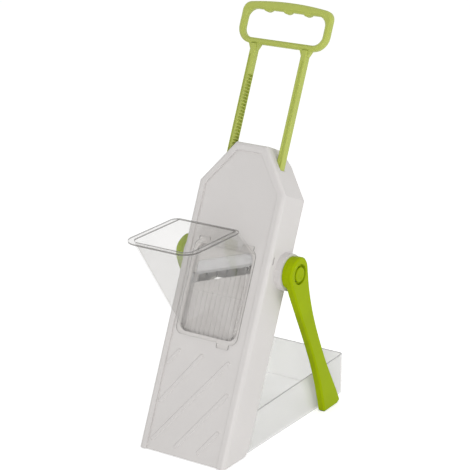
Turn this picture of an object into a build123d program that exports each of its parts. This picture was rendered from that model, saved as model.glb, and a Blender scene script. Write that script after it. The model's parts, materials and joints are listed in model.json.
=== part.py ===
"""Standing push-down vegetable chopper, in millimetres, +Z up.

The body leans back on two folding legs. Most of it is drawn in board coordinates:
u across to the right, v up the slope of the front panel, w in from the front panel
to the back. Each sub-part is one function that returns solids already in place.
"""
from build123d import *
from math import asin, cos, degrees, pi, radians, sin, sqrt, tan
import os

# Stance
LEAN = 23.7                 # the front panel leans back from upright, degrees
LEG_LEAN = 23.5             # each leg leans the other way, degrees
FLOOR_GAP = 1.0             # height of the shell above what it stands on
RUN_GAP = 0.3               # gap between faces that move past each other
FIT = 0.08                  # radial clearance of a shaft in its hole

# Body shell, board coordinates
BODY_WIDTH = 110.0
SHOULDER_V = 297.0
TOP_V = 344.5
TOP_WIDTH = 40.0
BODY_DEPTH = 42.0
DEPTH_BREAK_V = 331.0       # above this the back slopes forward
TOP_CUT = 10.0              # by this much, at the very top
WALL = 2.5
RIM = 9.0                   # width of the raised rim round the front panel
RECESS = 1.6                # how far the front panel lies behind its rim
EDGE_ROUND = 5.0
HEEL_Y = 41.0
HEEL_CHAMFER = 9.0
SLOT_V = 226.7
SLOT_W = 7.0

# Raised ribs on the lower front panel: (u, v) of both ends
RIB_ENDS = (((-43, 97), (-32, 112)), ((-42, 55), (-3, 112)), ((-41, 14), (31, 111)),
            ((-10, 12), (38, 78)), ((19, 12), (37, 37)))
RIB_WIDTH = 5.0
RIB_HEIGHT = 1.3
RIB_TAPER = 40

# Chute window in the front panel
WINDOW_U = -3.0             # the window lies left of the middle
WINDOW_HALF = 36.0
WINDOW_V = (134.0, 230.0)
WINDOW_ROUND = 9.0

# Push handle and its rails
RAIL_U = 32.3
RAIL_W = 15.6
RAIL_WIDTH = 7.0
RAIL_DEPTH = 9.0
RAIL_GROOVE = (2.4, 0.9)    # width and depth of the groove along each rail's face
STROKE = 90.0
LOOP_V = 453.0              # underside of the loop when the handle is up
LOOP_WIDTH = 113.0
LOOP_HEIGHT = 44.0
LOOP_BAR = 7.0
LOOP_DEPTH = 9.0
LOOP_ARCH = 4.5             # rise of the top bar at its middle
GUSSET = 7.0
LOOP_LOW_ROUND = 18.0
LOOP_TOP_ROUND = 10.0
LOOP_EDGE = 2.1
SCALLOP_PITCH = 25.0
SCALLOP_R = 7.0
SCALLOP_DROP = 2.4

# Rack on the left rail and the pinion of the return damper
RACK_PITCH = 3.6
RACK_TOP_V = 422.0
RACK_WEB = 1.5              # thickness of the web behind the teeth
PINION_TEETH = 14
PINION_V = 317.0
PINION_WIDTH = 6.0
BACKLASH = 0.36
AXLE_R = 1.5
DAMPER_R = 9.0
DAMPER_DEPTH = 7.0

# Blade carriage behind the window
PLATE_W = 6.0               # front face of the plate above the blade
PLATE_THICK = 3.0
PLATE_HALF = 40.5
PLATE_LEFT = -43.0          # the plate and the runway reach further to the left
PLATE_TOP_V = 324.0
RUNWAY_FOOT_V = 121.0
SLICE = 2.6                 # the runway lies this far behind the plate
RUNWAY_THICK = 2.2
RUNWAY_RIB = 0.9
RUNWAY_RIB_PITCH = 6.0
BLADE_V = 207.0             # cutting edge at mid width
BLADE_SLANT = 18.0
BLADE_WIDTH = 15.0
BLADE_THICK = 0.9
SLICE_GAP = 8.0
COMB_PITCH = 12.0
COMB_TOOTH = (5.0, 6.5)

# Guide rods and return springs
ROD_U = 45.5
ROD_R = 2.0
ROD_V = (12.0, 298.0)
EAR_V = (214.0, 284.0)
EAR_THICK = 6.0
SPRING_R = 4.6
SPRING_WIRE = 1.2
SHELF_V = (13.0, 20.0)

# Rear cover
COVER_FOOT_V = 72.0
DISCHARGE_HALF = 36.0
DISCHARGE_V = (92.0, 198.0)
SCREW_U = 47.5
SCREW_V = (84.0, 160.0, 270.0)
SCREW_R = 1.5
SCREW_HEAD = (3.0, 1.6)

# Folding legs
HUB_V = 219.3
HUB_INSET = 8.7             # the hub's axis lies this far in front of the back
HUB_R = 17.7
BOSS_R = 20.3
BOSS_HEIGHT = 7.7
LEG_THICK = 12.0            # at the head; the shank is SHANK_THICK
SHANK_THICK = 8.0
SHANK_CANT = 0.06           # each shank runs inwards by this much of its length
CANT_START = 12.0
LEG_EDGES = ((17.0, -17.6, 12.6), (45.0, -14.6, 9.2), (73.0, -11.6, 8.6), (103.0, -8.6, 10.1),
             (131.0, -6.8, 12.6), (158.0, -6.4, 16.2), (182.0, -7.6, 20.2), (212.0, -10.0, 24.0))
LEG_FOLD = 52.0             # how far a leg folds forward, degrees
PIN_R = 4.0
PIN_HEAD = (7.0, 2.0)
BUTTON_R = 8.2
BUTTON_TRAVEL = 2.4
BUTTON_PROUD = 0.1
DISH_R = 11.2
DISH_DEPTH = 3.8
PAD_THICK = 1.6

# Hopper
HOPPER_RIM_Z = 246.0
HOPPER_FRONT_Y = -29.0
HOPPER_BACK_Y = 60.0
HOPPER_U = -2.5
HOPPER_HALF = 37.5
HOPPER_FOOT_V = 134.3
HOPPER_HEAD_V = 229.0
HOPPER_WALL = 1.6
HOPPER_ROUND = 10.0
LIP = 5.0
LIP_THICK = 2.0
LIP_ROUNDS = (17.0, 9.0)    # of the lip's front and back corners
FLANGE_HALF = 39.3
FLANGE_V = (129.8, 234.0)
FLANGE_THICK = 1.6
SPIGOT_GAP = 0.4

# Catch tray
TRAY_Y = (50.0, 249.5)
TRAY_HEIGHTS = (42.5, 48.5)  # of the rim, at the front and at the back
TRAY_WALL = 1.8
TRAY_ROUND = 5.0

# Worked out from the sizes above
HALF = BODY_WIDTH / 2
TAN_LEAN = tan(radians(LEAN))
SIN_LEAN = sin(radians(LEAN))
COS_LEAN = cos(radians(LEAN))
TAN_SLANT = tan(radians(BLADE_SLANT))
PANEL_BACK = RECESS + WALL
RUNWAY_W = PLATE_W + SLICE
RUNWAY_BACK = RUNWAY_W + RUNWAY_THICK
PITCH_R = RACK_PITCH * PINION_TEETH / (2 * pi)
MODULE = RACK_PITCH / pi
RAIL_FRONT = RAIL_W - PINION_WIDTH / 2 - 1.0
RAIL_BACK = RAIL_FRONT + RAIL_DEPTH
RAIL_FOOT_V = BLADE_V + RAIL_U * TAN_SLANT + BLADE_WIDTH + 4
HUB_W = BODY_DEPTH - HUB_INSET
LEG_INNER = HALF + BOSS_HEIGHT + RUN_GAP
LEG_OUTER = LEG_INNER + LEG_THICK
TRAY_HALF = HALF - WALL - RUN_GAP
Y_MID = (HOPPER_FRONT_Y - LIP + TRAY_Y[1]) / 2

BOARD = Plane(origin=(0, -Y_MID, 0), x_dir=(1, 0, 0), z_dir=(0, -COS_LEAN, SIN_LEAN))


def on_board(shape):
    """Place a shape that is drawn in board coordinates, with z = -w."""
    return BOARD.location * shape


def to_centre(shape):
    """Place a shape drawn in upright coordinates that start at the toe."""
    return Pos(0, -Y_MID, 0) * shape


def side_point(v, w):
    """Upright (y, z), from the toe, of a board point."""
    return (v * SIN_LEAN + w * COS_LEAN, v * COS_LEAN - w * SIN_LEAN)


def board_point(y, z):
    """Board (v, w) of an upright point."""
    return (y * SIN_LEAN + z * COS_LEAN, y * COS_LEAN - z * SIN_LEAN)


def half_width(v):
    """Half width of the body's outline at height v."""
    if v <= SHOULDER_V:
        return HALF
    return HALF - (v - SHOULDER_V) * (HALF - TOP_WIDTH / 2) / (TOP_V - SHOULDER_V)


def slab(u0, u1, v0, v1, w0, w1):
    """A board-aligned block between two corners."""
    box = Box(abs(u1 - u0), abs(v1 - v0), abs(w1 - w0))
    return Pos((u0 + u1) / 2, (v0 + v1) / 2, -(w0 + w1) / 2) * box


def rod_along_v(u, w, r, v0, v1):
    """A round bar that runs up the slope."""
    return Pos(u, (v0 + v1) / 2, -w) * Rot(90, 0, 0) * Cylinder(r, abs(v1 - v0))


def rod_along_w(u, v, r, w0, w1):
    """A round bar square to the front panel."""
    return Pos(u, v, -(w0 + w1) / 2) * Cylinder(r, abs(w1 - w0))


def rod_along_u(v, w, r, u0, u1):
    """A round bar across the body, in board coordinates."""
    return Pos((u0 + u1) / 2, v, -w) * Rot(0, 90, 0) * Cylinder(r, abs(u1 - u0))


def face_prism(points, w0, w1):
    """A polygon in (u, v), from depth w0 to w1."""
    face = make_face(Polyline(*points, close=True))
    return extrude(Plane.XY.offset(-max(w0, w1)) * face, abs(w1 - w0))


def side_prism(points, u0, u1):
    """A polygon in (v, w), from u0 to u1."""
    face = make_face(Polyline(*[(v, -w) for v, w in points], close=True))
    return extrude(Plane.YZ.offset(min(u0, u1)) * face, abs(u1 - u0))


def both_sides(shape):
    """A shape and its mirror image across the middle."""
    return shape + mirror(shape, about=Plane.YZ)


def outline(inset, foot_v=-40.0):
    """The body's front outline, moved in by inset."""
    slope = (HALF - TOP_WIDTH / 2) / (TOP_V - SHOULDER_V)
    corner = inset * (sqrt(1 + slope * slope) - slope)
    shoulder = SHOULDER_V - inset * (sqrt(1 + slope * slope) - 1) / slope
    top = TOP_WIDTH / 2 - corner
    side = HALF - inset
    return [(-side, foot_v), (side, foot_v), (side, shoulder), (top, TOP_V - inset),
            (-top, TOP_V - inset), (-side, shoulder)]


def back_line(inset):
    """Board (v, w) points of the body's back, moved in by inset, from the heel up."""
    return [(board_point(HEEL_Y + HEEL_CHAMFER, 6.0)[0], BODY_DEPTH - inset),
            (DEPTH_BREAK_V, BODY_DEPTH - inset), (TOP_V, BODY_DEPTH - TOP_CUT - inset)]


def leg_axis(shape):
    """Move a shape drawn round the hub axis to the hub, in upright coordinates."""
    y, z = side_point(HUB_V, HUB_W)
    return Pos(0, y - Y_MID, z) * shape


# Body shell
def shell_blank(inset, front, back_inset, floor_z):
    """The body's solid form, moved in by inset, from depth front to the back line."""
    toe = board_point(floor_z * TAN_LEAN, floor_z)
    heel = board_point(HEEL_Y - inset, floor_z)
    profile = [(toe[0] + front * TAN_LEAN, front), heel, *back_line(back_inset), (TOP_V, front)]
    prism = side_prism(profile, -HALF - 1, HALF + 1)
    return prism & face_prism(outline(inset), -1, BODY_DEPTH + 1)


def rib(ends):
    """One raised slanting rib on the front panel, with round ends."""
    (u0, v0), (u1, v1) = ends
    length = sqrt((u1 - u0) ** 2 + (v1 - v0) ** 2)
    angle = degrees(asin((v1 - v0) / length))
    bar = extrude(SlotCenterToCenter(length, RIB_WIDTH), RIB_HEIGHT, taper=RIB_TAPER)
    return Pos((u0 + u1) / 2, (v0 + v1) / 2, -RECESS) * Rot(0, 0, angle) * bar


def rail_holes(gap):
    """Clearance prisms along both rails."""
    side = RAIL_WIDTH / 2 + gap
    one = slab(RAIL_U - side, RAIL_U + side, SHOULDER_V, TOP_V + 5, RAIL_FRONT - gap, RAIL_BACK + gap)
    return both_sides(one)


def tab_places():
    """Middle (u, v) and size of each finger tab round the hopper's flange."""
    low, high = FLANGE_V
    return ((WINDOW_U + 23.0, low - 2.5, 15.0, 6.0), (WINDOW_U + 28.0, high + 1.5, 14.0, 5.0),
            (WINDOW_U - 28.0, high + 1.5, 14.0, 5.0))


def front_shell():
    """Front panel, side walls, shoulders, floor, leg bosses, shelves and screw posts."""
    body = shell_blank(0, 0, 0, FLOOR_GAP)
    front = [e for e in body.edges() if abs(e.center().Z) < 1e-3 and e.center().Y > 20]
    body = fillet(front, EDGE_ROUND)
    ear = both_sides(rod_along_u(HUB_V, HUB_W, BOSS_R, HALF - WALL, HALF + BOSS_HEIGHT))
    body = body + ear - shell_blank(WALL, PANEL_BACK, -5, FLOOR_GAP + WALL)
    panel = face_prism(outline(RIM), -1, RECESS)
    uprights = [e for e in panel.edges() if abs(e.tangent_at(0.5).Z) > 0.9]
    body = body - fillet(uprights, 4.0)
    for ends in RIB_ENDS:
        body = body + rib(ends)

    mid_v = sum(WINDOW_V) / 2
    window = extrude(RectangleRounded(2 * WINDOW_HALF, WINDOW_V[1] - WINDOW_V[0], WINDOW_ROUND), 12)
    body = body - Pos(WINDOW_U, mid_v, -8) * window - rail_holes(RUN_GAP)

    hole = ROD_R + 0.02
    near = PLATE_HALF + 0.8
    shelf = slab(near, HALF - WALL, *SHELF_V, PANEL_BACK, RAIL_W + 6)
    top_shelf = slab(near, HALF - WALL, ROD_V[1] - 7, ROD_V[1] + 1, RUNWAY_BACK + 0.4, RAIL_W + 5)
    shelves = both_sides(shelf + top_shelf) & face_prism(outline(WALL), 0, BODY_DEPTH)
    body = body + shelves - both_sides(rod_along_v(ROD_U, RAIL_W, hole, ROD_V[0] - 0.05, ROD_V[1]))

    for v in SCREW_V:
        seat = cover_depth(v) - WALL
        post = side_prism([(v - 4, cover_depth(v - 4) - WALL), (v + 4, cover_depth(v + 4) - WALL),
                           (v + 4, seat - 7), (v, seat - 12), (v - 4, seat - 7)],
                          SCREW_U - 4, HALF - WALL)
        pilot = rod_along_w(SCREW_U, v, SCREW_R, seat - 8, seat + 1)
        body = body + both_sides(post) - both_sides(pilot)

    inner_boss = rod_along_u(HUB_V, HUB_W, PIN_R + 1.8, HALF - 11, HALF - WALL)
    pin_hole = rod_along_u(HUB_V, HUB_W, PIN_R + 0.02, HALF - 12, LEG_INNER + 1)
    body = body + both_sides(inner_boss) - both_sides(pin_hole)
    body = body - slab(HALF - 5, HALF + 1, SLOT_V - 4, SLOT_V + 4, SLOT_W - 0.9, SLOT_W + 0.9)
    return on_board(body)


def cover_depth(v):
    """Depth w of the body's back face at height v."""
    points = back_line(0)
    for (v0, w0), (v1, w1) in zip(points, points[1:]):
        if v <= v1:
            return w0 + (w1 - w0) * (v - v0) / (v1 - v0)
    return points[-1][1]


def rear_cover():
    """Back panel between the side walls, with the discharge opening and its collar."""
    outer = [p for p in back_line(0) if p[0] > COVER_FOOT_V]
    inner = [p for p in back_line(WALL) if p[0] > COVER_FOOT_V]
    band = [(COVER_FOOT_V, BODY_DEPTH), *outer, *reversed(inner), (COVER_FOOT_V, BODY_DEPTH - WALL)]
    cover = side_prism(band, -HALF, HALF) & face_prism(outline(WALL + 0.15), 0, BODY_DEPTH + 1)
    mid_v = sum(DISCHARGE_V) / 2
    hole = RectangleRounded(2 * DISCHARGE_HALF, DISCHARGE_V[1] - DISCHARGE_V[0], 8)
    collar = RectangleRounded(2 * DISCHARGE_HALF + 4, DISCHARGE_V[1] - DISCHARGE_V[0] + 4, 10)
    cover = cover + Pos(0, mid_v, -BODY_DEPTH) * extrude(collar, 7)
    cover = cover - Pos(0, mid_v, -BODY_DEPTH - 1) * extrude(hole, 12)
    for v in SCREW_V:
        cover = cover - both_sides(rod_along_w(SCREW_U, v, SCREW_R + 0.2, 0, BODY_DEPTH + 1))
    damper_back = cover_depth(PINION_V) - WALL + 0.8
    post = rod_along_w(pinion_u(), PINION_V, 5, damper_foot(), damper_back)
    return on_board(cover + post)


def cover_screws():
    """Six self-tapping screws that hold the rear cover."""
    screws = []
    for side in (-1, 1):
        for v in SCREW_V:
            head = cover_depth(v - 3.2)
            shank = rod_along_w(side * SCREW_U, v, SCREW_R - 0.05, head - WALL - 7, head + 0.2)
            cap = rod_along_w(side * SCREW_U, v, SCREW_HEAD[0], head + 0.02, head + SCREW_HEAD[1])
            screws.append(on_board(shank + cap))
    return screws


def rubber_feet():
    """Four rubber feet plugged under the shell's floor."""
    feet = []
    for x in (-HALF + 8, HALF - 8):
        for y in (9.0, HEEL_Y - 8.0):
            pad = Pos(x, y, FLOOR_GAP / 2) * Cylinder(5, FLOOR_GAP)
            feet.append(to_centre(pad))
    return feet


# Push handle
def loop_sketch():
    """Front view of the handle loop, with the finger grooves under its top bar."""
    top_v = LOOP_V + LOOP_HEIGHT
    half = LOOP_WIDTH / 2
    outer = make_face([
        Polyline((-half, top_v), (-half, LOOP_V), (half, LOOP_V), (half, top_v)),
        ThreePointArc((half, top_v), (0, top_v + LOOP_ARCH), (-half, top_v))])
    low_corners = outer.vertices().group_by(Axis.Y)[0]
    outer = fillet(low_corners, LOOP_LOW_ROUND)
    outer = fillet([v for v in outer.vertices() if abs(v.Y - top_v) < 1e-3], LOOP_TOP_ROUND)
    inner_width = LOOP_WIDTH - 2 * LOOP_BAR
    inner_height = LOOP_HEIGHT - 1.7 * LOOP_BAR
    ceiling = LOOP_V + LOOP_BAR * 0.9 + inner_height
    inner = Pos(0, ceiling - inner_height / 2) * RectangleRounded(inner_width, inner_height, 11)
    for i in (-1, 0, 1):
        inner = inner - Pos(i * SCALLOP_PITCH, ceiling + SCALLOP_R - SCALLOP_DROP) * Circle(SCALLOP_R)
    return outer - inner


def handle_loop():
    """The grip: a closed loop with finger grooves and a gusset beside each rail."""
    loop = extrude(loop_sketch(), LOOP_DEPTH / 2, both=True)
    outer_edges = [e for e in loop.edges() if abs(abs(e.center().Z) - LOOP_DEPTH / 2) < 1e-3]
    loop = chamfer(outer_edges, LOOP_EDGE)
    for side in (-1, 1):
        for way in (-1, 1):
            edge = side * RAIL_U + way * RAIL_WIDTH / 2
            web = make_face(Polyline((edge, LOOP_V + 3), (edge, LOOP_V - GUSSET),
                                     (edge + way * 5, LOOP_V + 3), close=True))
            loop = loop + extrude(web, 3, both=True)
    return on_board(Pos(0, 0, -(RAIL_FRONT + RAIL_BACK) / 2) * loop)


def rail_bar(side):
    """A straight rail with softened edges; side is -1 for the left one."""
    bar = slab(side * RAIL_U - RAIL_WIDTH / 2, side * RAIL_U + RAIL_WIDTH / 2, RAIL_FOOT_V, LOOP_V,
               RAIL_FRONT, RAIL_BACK)
    wide, deep = RAIL_GROOVE
    mid = side * (RAIL_U + 0.9)
    groove = slab(mid - wide / 2, mid + wide / 2, SHOULDER_V - 5, LOOP_V - 12, RAIL_FRONT - 1, RAIL_FRONT + deep)
    return chamfer(bar.edges().filter_by(Axis.Y), 0.9) - groove


def rack_pitch_u():
    """u of the rack's pitch line, on the inner side of the left rail."""
    return -RAIL_U + RAIL_WIDTH / 2 - MODULE


def left_rail():
    """Left rail, with rack teeth cut into its inner side."""
    bar = rail_bar(-1)
    root = rack_pitch_u() - 1.15 * MODULE
    face = -RAIL_U + RAIL_WIDTH / 2 + 0.5
    lean = tan(radians(20))
    count = int((RACK_TOP_V - PINION_V + 10) / RACK_PITCH)
    gaps = []
    for i in range(-2, count - 2):
        v = PINION_V + i * RACK_PITCH
        deep = RACK_PITCH / 4 + BACKLASH / 4 - (rack_pitch_u() - root) * lean
        wide = RACK_PITCH / 4 + BACKLASH / 4 + (face - rack_pitch_u()) * lean
        gap = face_prism([(root, v - deep), (face, v - wide), (face, v + wide), (root, v + deep)],
                         RAIL_FRONT - 1, RAIL_BACK - RACK_WEB)
        gaps.append(gap)
    return on_board(bar - gaps)


def right_rail():
    """Right rail, plain."""
    return on_board(rail_bar(1))


def pinion_u():
    """u of the pinion's axis."""
    return rack_pitch_u() + PITCH_R


def damper_foot():
    """Depth of the back face of the damper's body."""
    return RAIL_BACK + RUN_GAP + DAMPER_DEPTH


def damper_pinion():
    """Pinion in mesh with the rack: tapered teeth round a disc with an axle hole."""
    root = PITCH_R - 1.2 * MODULE
    tip = PITCH_R + 0.85 * MODULE
    disc = Circle(root)
    half_angle = (pi / 2 - BACKLASH / 2 / MODULE) / PINION_TEETH
    for i in range(PINION_TEETH):
        a = degrees(pi + 2 * pi * i / PINION_TEETH)
        points = []
        for r, scale in ((root - 0.3, 1.42), (PITCH_R, 1.0), (tip, 0.45)):
            points.append((r * cos(half_angle * scale), r * sin(half_angle * scale)))
        flank = points + [(x, -y) for x, y in reversed(points)]
        disc = disc + Rot(0, 0, a) * make_face(Polyline(*flank, close=True))
    gear = extrude(disc - Circle(AXLE_R + FIT), PINION_WIDTH / 2, both=True)
    return on_board(Pos(pinion_u(), PINION_V, -RAIL_W) * gear)


def damper_body():
    """Round damper body behind the pinion, with the axle that carries it."""
    front = RAIL_BACK + RUN_GAP
    drum = rod_along_w(pinion_u(), PINION_V, DAMPER_R, front, front + DAMPER_DEPTH)
    drum = chamfer(drum.edges().filter_by(GeomType.CIRCLE), 0.6)
    step = rod_along_w(pinion_u(), PINION_V, AXLE_R + 1, RAIL_W + PINION_WIDTH / 2 + 0.1, front)
    axle = rod_along_w(pinion_u(), PINION_V, AXLE_R, RAIL_W - PINION_WIDTH / 2 - 0.8, front)
    return on_board(drum + step + axle)


# Blade carriage
def slanted(u, v_mid):
    """v of a line at the blade's slant, through v_mid at mid width."""
    return v_mid + u * TAN_SLANT


def blade_carriage():
    """Moulded carriage: plate above the blade, side bars, rail seats and spring ears."""
    seat_v = BLADE_V + 3.0
    edge = half_width(PLATE_TOP_V) - WALL * 2.2
    plate = face_prism([(PLATE_LEFT, slanted(PLATE_LEFT, seat_v)),
                        (PLATE_HALF, slanted(PLATE_HALF, seat_v)), (PLATE_HALF, SHOULDER_V + 6),
                        (edge, PLATE_TOP_V), (-edge, PLATE_TOP_V), (PLATE_LEFT, SHOULDER_V + 2)],
                       PLATE_W, PLATE_W + PLATE_THICK)
    pocket = blade_outline(0.1, 0.15)
    plate = plate - face_prism(pocket, PLATE_W - 1, PLATE_W + BLADE_THICK)
    bar = slab(PLATE_HALF - 4, PLATE_HALF, RUNWAY_FOOT_V, EAR_V[0] + 14, RUNWAY_BACK, RUNWAY_BACK + 3)
    upper = slab(PLATE_HALF - 4, PLATE_HALF, EAR_V[0] + 10, SHOULDER_V, PLATE_W + PLATE_THICK,
                 RUNWAY_BACK + 3)
    carriage = plate + both_sides(bar + upper)
    carriage = carriage + slab(-PLATE_HALF, PLATE_HALF, RUNWAY_FOOT_V, RUNWAY_FOOT_V + 5,
                               RUNWAY_BACK, RUNWAY_BACK + 3)
    seat = slab(RAIL_U - 4.5, PLATE_HALF, RAIL_FOOT_V + 1, PLATE_TOP_V - 12,
                PLATE_W + PLATE_THICK, RAIL_FRONT)
    seat = seat & face_prism(outline(WALL + 2.5), 0, BODY_DEPTH)
    carriage = carriage + both_sides(seat)
    for v in EAR_V:
        ear = slab(PLATE_HALF - 2, ROD_U, v, v + EAR_THICK, RUNWAY_BACK, RAIL_W + 4)
        ear = ear + rod_along_v(ROD_U, RAIL_W, ROD_R + 2.6, v, v + EAR_THICK)
        carriage = carriage + both_sides(ear)
    carriage = carriage - both_sides(rod_along_v(ROD_U, RAIL_W, ROD_R + FIT, EAR_V[0] - 20, SHOULDER_V + 5))
    for u, v in rail_screw_places():
        carriage = carriage - rod_along_w(u, v, 1.0, PLATE_W + 0.6, RAIL_FRONT + 1)
    return on_board(carriage)


def blade_outline(side_gap, top_gap):
    """The blade's slanted outline, with gaps at its ends and along its top."""
    half = PLATE_HALF - 4.5 + side_gap
    top = BLADE_V + BLADE_WIDTH + top_gap
    low = BLADE_V
    return [(-half, slanted(-half, low)), (half, slanted(half, low)),
            (half, slanted(half, top)), (-half, slanted(-half, top))]


def blade_screw_places():
    """Screw centres along the blade."""
    places = []
    for u in (-26.0, 0.0, 26.0):
        places.append((u, slanted(u, BLADE_V + BLADE_WIDTH - 4.5)))
    return places


def slicing_blade():
    """Steel blade with a ground edge that leans across the carriage."""
    blade = face_prism(blade_outline(0, 0), PLATE_W, PLATE_W + BLADE_THICK)
    half = PLATE_HALF - 4.5
    grind = 3.0
    wedge = Plane.YZ.offset(-half - 1) * make_face(Polyline(
        (BLADE_V - 1, -PLATE_W + 0.01), (BLADE_V + grind, -PLATE_W + 0.01),
        (BLADE_V - 1, -PLATE_W - BLADE_THICK * 1.2), close=True))
    shear_length = 2 * half + 2
    wedge = extrude(wedge, shear_length, dir=(1, TAN_SLANT, 0))
    wedge = Pos(0, -(half + 1) * TAN_SLANT, 0) * wedge
    blade = blade - wedge
    for u, v in blade_screw_places():
        blade = blade - rod_along_w(u, v, 1.6, PLATE_W - 1, PLATE_W + 3)
    return on_board(blade)


def julienne_comb():
    """Steel comb under the blade: a strip whose pointed teeth stand in the slice gap."""
    half = PLATE_HALF - 5.0
    top = BLADE_V + 9.0
    strip = [(-half, slanted(-half, top - 5)), (half, slanted(half, top - 5)),
             (half, slanted(half, top)), (-half, slanted(-half, top))]
    back = PLATE_W + PLATE_THICK + 0.05
    comb = face_prism(strip, back, back + 0.8)
    wide, tall = COMB_TOOTH
    count = int(2 * half / COMB_PITCH)
    for i in range(count):
        u = (i - (count - 1) / 2) * COMB_PITCH
        base = slanted(u, top - 4.8)
        tooth = [(u - wide / 2, base), (u, base - tall - 4.2), (u + wide / 2, base)]
        comb = comb + face_prism(tooth, back, back + 0.8)
    return on_board(comb)


def runway_plate():
    """Ribbed plate below the blade, set back by one slice."""
    top = BLADE_V - SLICE_GAP
    half = PLATE_HALF
    plate = face_prism([(PLATE_LEFT, RUNWAY_FOOT_V), (half, RUNWAY_FOOT_V), (half, slanted(half, top)),
                        (PLATE_LEFT, slanted(PLATE_LEFT, top))], RUNWAY_W, RUNWAY_BACK)
    count = int((2 * half - 8) / RUNWAY_RIB_PITCH) + 1
    for i in range(count):
        u = (i - (count - 1) / 2) * RUNWAY_RIB_PITCH
        ridge = face_prism([(u - 0.9, RUNWAY_FOOT_V + 3), (u + 0.9, RUNWAY_FOOT_V + 3),
                            (u + 0.9, slanted(u + 0.9, top - 1)), (u - 0.9, slanted(u - 0.9, top - 1))],
                           RUNWAY_W - RUNWAY_RIB, RUNWAY_W)
        plate = plate + ridge
    return on_board(plate)


def blade_screws():
    """Three countersunk screws through the blade into the plate."""
    screws = []
    for u, v in blade_screw_places():
        screws.append(on_board(rod_along_w(u, v, 1.5, PLATE_W, PLATE_W + BLADE_THICK)))
    return screws


def rail_screw_places():
    """Centres of the screws that hold the rails to the carriage."""
    return [(side * RAIL_U, v) for side in (-1, 1) for v in (RAIL_FOOT_V + 12, RAIL_FOOT_V + 62)]


def rail_screws():
    """Four screws from behind, through each rail into its seat."""
    screws = []
    for u, v in rail_screw_places():
        head = rod_along_w(u, v, 2.6, RAIL_BACK + 0.01, RAIL_BACK + 1.6)
        screws.append(on_board(head))
    return screws


# Guides and springs
def guide_rod(side):
    """Steel rod that guides the carriage and carries the return spring."""
    return on_board(rod_along_v(side * ROD_U, RAIL_W, ROD_R, *ROD_V))


def return_spring(side):
    """Return spring between the shell's shelf and the carriage's lower ear."""
    tube = rod_along_v(side * ROD_U, RAIL_W, SPRING_R, SHELF_V[1] + 0.1, EAR_V[0] - 0.1)
    bore = rod_along_v(side * ROD_U, RAIL_W, SPRING_R - SPRING_WIRE, SHELF_V[1] - 1, EAR_V[0] + 1)
    return on_board(tube - bore)


# Folding legs, drawn for the right side round the hub axis
def leg_profile():
    """Outline of a leg in its own plane: y to the back, z up, the hub at the origin."""
    front = [(near, -down) for down, near, _ in LEG_EDGES]
    back = [(far, -down) for down, _, far in LEG_EDGES]
    crown = (0.0, HUB_R)
    return make_face([
        Spline(*front), Line(front[-1], back[-1]), Spline(*reversed(back)),
        Spline(back[0], (HUB_R * 0.97, HUB_R * 0.32), crown, tangents=((0.2, 1), (-1, 0))),
        Spline(crown, (-HUB_R * 0.99, 0.0), front[0], tangents=((-1, 0), (0.05, -1)))])


def shank_x(down, over):
    """x of a shank's face at a distance down its axis; over is 0 for the outer face."""
    return LEG_OUTER - SHANK_CANT * max(0.0, down - CANT_START) - over


def leg_blank(shrink=0.0):
    """A leg's solid form, thinned by shrink on both faces, before it leans."""
    reach = LEG_EDGES[-1][0] + 5
    slice_face = make_face(Polyline(
        (LEG_OUTER - shrink, HUB_R + 5), (LEG_OUTER - shrink, -CANT_START),
        (shank_x(reach, shrink), -reach), (shank_x(reach, SHANK_THICK - shrink), -reach),
        (shank_x(CANT_START, SHANK_THICK - shrink), -CANT_START),
        (LEG_OUTER - SHANK_THICK + shrink, HUB_R + 5), close=True))
    plate = extrude(Plane.XZ * slice_face, 60, both=True)
    blank = plate & extrude(Plane.YZ.offset(LEG_INNER - 10) * leg_profile(), 40)
    if shrink:
        return blank
    rim = [e for e in blank.edges() if on_outer_face(e)]
    blank = chamfer(rim, 1.6)
    head = Pos((LEG_INNER + LEG_OUTER - 4) / 2, 0, 0) * Rot(0, 90, 0) * Cylinder(
        HUB_R, LEG_THICK - 4)
    return blank + head


def on_outer_face(edge):
    """True for an edge round the outer face of a leg, but not across it."""
    mid, ends = edge @ 0.5, (edge @ 0, edge @ 1)
    if abs(ends[0].Z - ends[1].Z) < 1e-3 and abs(ends[0].Z + CANT_START) < 1e-3:
        return False
    return all(abs(p.X - shank_x(-p.Z, 0)) < 0.02 for p in (mid, *ends))


def hub_floor():
    """x of the bottom of the button's cup in the hub."""
    return LEG_INNER + PIN_HEAD[1] + 1.2


def leg():
    """One leg, with its hub, its cup for the button and the seat of its foot pad."""
    cup = Pos(LEG_OUTER, 0, 0) * Rot(0, 90, 0) * Cylinder(BUTTON_R + RUN_GAP, 2 * (LEG_OUTER - hub_floor()))
    dish = Pos(LEG_OUTER, 0, 0) * Rot(0, 90, 0) * Cylinder(DISH_R, 2 * DISH_DEPTH)
    hole = Pos(LEG_INNER, 0, 0) * Rot(0, 90, 0) * Cylinder(PIN_R + FIT, 2 * LEG_THICK)
    head_room = Pos(LEG_OUTER, 0, 0) * Rot(0, 90, 0) * Cylinder(
        PIN_HEAD[0] + RUN_GAP, 2 * (LEG_OUTER - LEG_INNER - 2.5))
    blank = Rot(LEG_LEAN, 0, 0) * (leg_blank() - cup - dish - hole - head_room)
    y, z = side_point(HUB_V, HUB_W)
    floor = Pos(LEG_OUTER, 0, -z - 50 + PAD_THICK / 2) * Box(100, 600, 100)
    return leg_axis(blank - floor)


def foot_pad():
    """Rubber pad under a leg's foot."""
    blank = Rot(LEG_LEAN, 0, 0) * leg_blank(0.8)
    z = side_point(HUB_V, HUB_W)[1]
    slice_box = Pos(LEG_INNER, 0, -z + PAD_THICK / 4) * Box(80, 600, PAD_THICK / 2)
    return leg_axis(blank & slice_box)


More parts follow.
